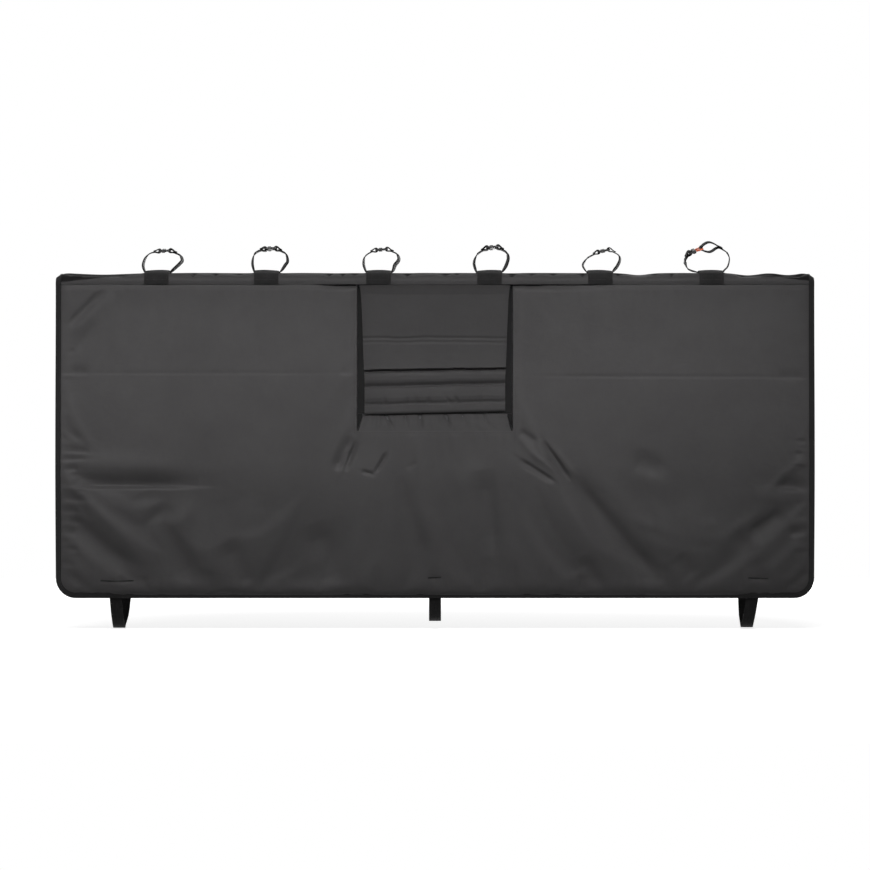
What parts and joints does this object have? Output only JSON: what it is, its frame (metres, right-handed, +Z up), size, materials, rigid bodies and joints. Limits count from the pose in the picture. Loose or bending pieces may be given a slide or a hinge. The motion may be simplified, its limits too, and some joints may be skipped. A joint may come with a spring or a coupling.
{
  "type": "tailgate bike pad",
  "caption": "Padded fabric cover that hangs over a pickup tailgate, with a window and pleated flap, buckled bike straps on its top edge and webbing loops that hold it under the tailgate",
  "frame": {"origin": "the middle of the flat underside that rests on the tailgate's top edge", "axes": "+X across the truck, -Y out of the padded front face towards the rear of the truck, +Z up"},
  "size_m": [1.55, 0.1226, 0.7907],
  "materials": {
    "cover_fabric": "charcoal coated polyester, fine plain weave, low sheen",
    "flap_fabric": "the same coated polyester, unpadded and pleated",
    "lining_fabric": "brushed soft knit, grey",
    "foam": "closed-cell foam sheet",
    "binding_tape": "black woven edge binding",
    "webbing": "black polypropylene webbing",
    "hook_tape": "black hook and loop tape",
    "buckle_plastic": "moulded black acetal",
    "orange_plastic": "moulded orange acetal"
  },
  "bodies": {
    "root": {"lining": "lining_fabric", "front_foam": "foam", "top_foam": "foam", "rear_foam": "foam", "front_panel": "cover_fabric", "top_panel": "cover_fabric", "rear_panel": "cover_fabric", "window_facing": "cover_fabric", "sill_flange": "cover_fabric", "access_flap": "flap_fabric", "flap_hook_tape": "hook_tape", "flap_loop_tape": "hook_tape", "edge_binding": "binding_tape", "strap_tab_1": "webbing", "strap_tab_2": "webbing", "strap_tab_3": "webbing", "strap_tab_4": "webbing", "strap_tab_5": "webbing", "strap_tab_6": "webbing", "bike_strap_1": "webbing", "bike_strap_2": "webbing", "bike_strap_3": "webbing", "bike_strap_4": "webbing", "bike_strap_5": "webbing", "bike_strap_6": "webbing", "buckle_socket_1": "buckle_plastic", "buckle_socket_2": "buckle_plastic", "buckle_socket_3": "buckle_plastic", "buckle_socket_4": "buckle_plastic", "buckle_socket_5": "buckle_plastic", "buckle_socket_6": "buckle_plastic", "buckle_plug_1": "buckle_plastic", "buckle_plug_2": "buckle_plastic", "buckle_plug_3": "buckle_plastic", "buckle_plug_4": "buckle_plastic", "buckle_plug_5": "buckle_plastic", "buckle_plug_6": "orange_plastic", "tailgate_strap_left": "webbing", "tailgate_strap_centre": "webbing", "tailgate_strap_right": "webbing", "ladder_buckle_left": "buckle_plastic", "ladder_buckle_centre": "buckle_plastic", "ladder_buckle_right": "buckle_plastic", "buckle_anchor_left": "webbing", "buckle_anchor_centre": "webbing", "buckle_anchor_right": "webbing"}
  },
  "joints": []
}
